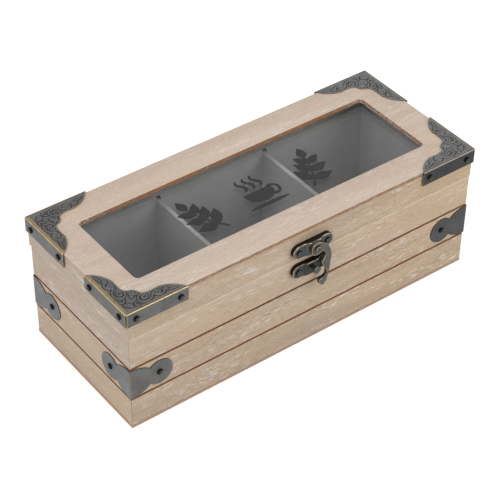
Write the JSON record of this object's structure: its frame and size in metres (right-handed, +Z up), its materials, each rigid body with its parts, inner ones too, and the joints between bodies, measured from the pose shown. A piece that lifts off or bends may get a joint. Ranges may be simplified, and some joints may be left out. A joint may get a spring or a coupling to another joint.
{
  "type": "compartment box",
  "caption": "Slatted wooden keeper box with divided compartments under a glazed, hinged lid with metal corner fittings and a swing-hook latch.",
  "frame": {"origin": "middle of the body's underside, where it rests on the table", "axes": "+X to the right along the long front, +Y to the back where the hinges are, +Z up"},
  "size_m": [0.244, 0.1089, 0.0837],
  "materials": {
    "washed_wood": "white-washed, open grain, matt",
    "fibreboard": "bare brown fibreboard",
    "grey_board": "matt grey paint",
    "glass": "clear, polished",
    "aged_bronze": "dark bronze plating, worn to brass on the edges",
    "black_screw": "black oxide"
  },
  "bodies": {
    "box": {"bottom_board": "fibreboard", "front_lower_slat": "washed_wood", "front_middle_slat": "washed_wood", "front_upper_slat": "washed_wood", "back_lower_slat": "washed_wood", "back_middle_slat": "washed_wood", "back_upper_slat": "washed_wood", "left_lower_slat": "washed_wood", "left_middle_slat": "washed_wood", "left_upper_slat": "washed_wood", "right_lower_slat": "washed_wood", "right_middle_slat": "washed_wood", "right_upper_slat": "washed_wood", "front_liner": "grey_board", "back_liner": "grey_board", "left_liner": "grey_board", "right_liner": "grey_board", "left_divider": "grey_board", "right_divider": "grey_board", "front_left_strap": "aged_bronze", "front_right_strap": "aged_bronze", "back_left_strap": "aged_bronze", "back_right_strap": "aged_bronze", "strap_screws": "black_screw", "catch_plate": "aged_bronze", "catch_post": "aged_bronze", "catch_plate_screws": "black_screw", "left_hinge_body_leaf": "aged_bronze", "right_hinge_body_leaf": "aged_bronze", "left_hinge_pin": "aged_bronze", "right_hinge_pin": "aged_bronze", "hinge_body_screws": "black_screw"},
    "lid": {"lid_panel": "washed_wood", "lid_front_rail": "washed_wood", "lid_back_rail": "washed_wood", "lid_left_rail": "washed_wood", "lid_right_rail": "washed_wood", "glass_pane": "glass", "front_left_corner": "aged_bronze", "front_right_corner": "aged_bronze", "back_left_corner": "aged_bronze", "back_right_corner": "aged_bronze", "corner_screws": "black_screw", "latch_plate": "aged_bronze", "latch_pivot": "aged_bronze", "latch_plate_screws": "black_screw", "left_hinge_lid_leaf": "aged_bronze", "right_hinge_lid_leaf": "aged_bronze", "hinge_lid_screws": "black_screw"},
    "hook": {"latch_hook": "aged_bronze"}
  },
  "joints": [
    {"name": "lid_hinge", "type": "hinge", "parent": "box", "child": "lid", "pos_m": [0, 0.0512, 0.0643], "axis": [-1, 0, 0], "range_deg": [0, 100]},
    {"name": "hook_swing", "type": "hinge", "parent": "lid", "child": "hook", "pos_m": [0.001, -0.0532, 0.0714], "axis": [0, -1, 0], "range_deg": [-10, 110]}
  ]
}
